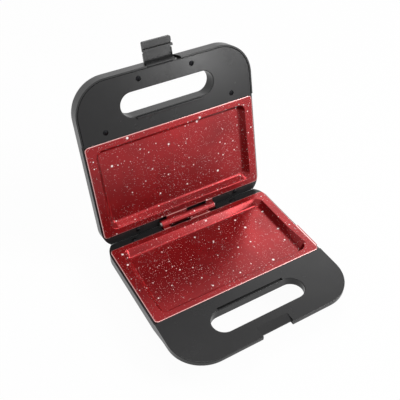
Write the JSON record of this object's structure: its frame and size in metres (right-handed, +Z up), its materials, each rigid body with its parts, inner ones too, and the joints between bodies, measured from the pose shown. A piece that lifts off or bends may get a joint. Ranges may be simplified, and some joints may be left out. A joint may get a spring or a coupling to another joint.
{
  "type": "sandwich maker",
  "caption": "Countertop sandwich maker standing open: hinged lid with grip slots and front latch, red non-stick plates with drafted trays.",
  "frame": {"origin": "centre of the bounding box in X and Y, on the table plane under the rubber feet", "axes": "+Z up, +X along the hinge to the right as seen from the handle side, +Y from the base handle to the lid"},
  "size_m": [0.222, 0.2658, 0.2525],
  "materials": {
    "black_plastic": "satin moulded, fine grain",
    "red_coating": "gloss non-stick coating with white speckles",
    "steel": "zinc plated",
    "dark_steel": "blackened",
    "bare_aluminium": "mill finish sheet",
    "rubber": "matte",
    "ceramic": "unglazed",
    "sleeve": "woven glass sleeve",
    "white_plastic": "moulded",
    "red_lens": "clear tinted",
    "green_lens": "clear tinted",
    "lamp_glass": "clear"
  },
  "bodies": {
    "base": {"base_shell": "black_plastic", "base_frame": "black_plastic", "lower_plate": "red_coating", "lower_plate_screws": "steel", "lower_heater": "steel", "lower_reflector": "bare_aluminium", "lower_reflector_screws": "steel", "base_rear_screws": "dark_steel", "base_handle_screws": "dark_steel", "rubber_feet": "rubber", "thermostat": "ceramic", "thermostat_strap": "steel", "thermal_fuse": "sleeve", "fuse_clip": "steel", "terminal_block": "white_plastic", "cord_bushing": "rubber", "hinge_pin": "steel", "hinge_pin_clip": "steel"},
    "lid": {"lid_shell": "black_plastic", "lid_frame": "black_plastic", "upper_plate": "red_coating", "upper_plate_screws": "steel", "upper_heater": "steel", "upper_reflector": "bare_aluminium", "upper_reflector_screws": "steel", "lid_frame_screws": "dark_steel", "power_lens": "red_lens", "ready_lens": "green_lens", "indicator_lamps": "lamp_glass", "latch_pin": "steel"},
    "latch": {"latch": "black_plastic"}
  },
  "joints": [
    {"name": "lid_hinge", "type": "hinge", "parent": "base", "child": "lid", "pos_m": [0, 0.06659, 0.0395], "axis": [1, 0, 0], "range_deg": [0, 103]},
    {"name": "latch_hinge", "type": "hinge", "parent": "lid", "child": "latch", "pos_m": [0, 0.12117, 0.22703], "axis": [1, 0, 0], "range_deg": [0, 90]}
  ]
}
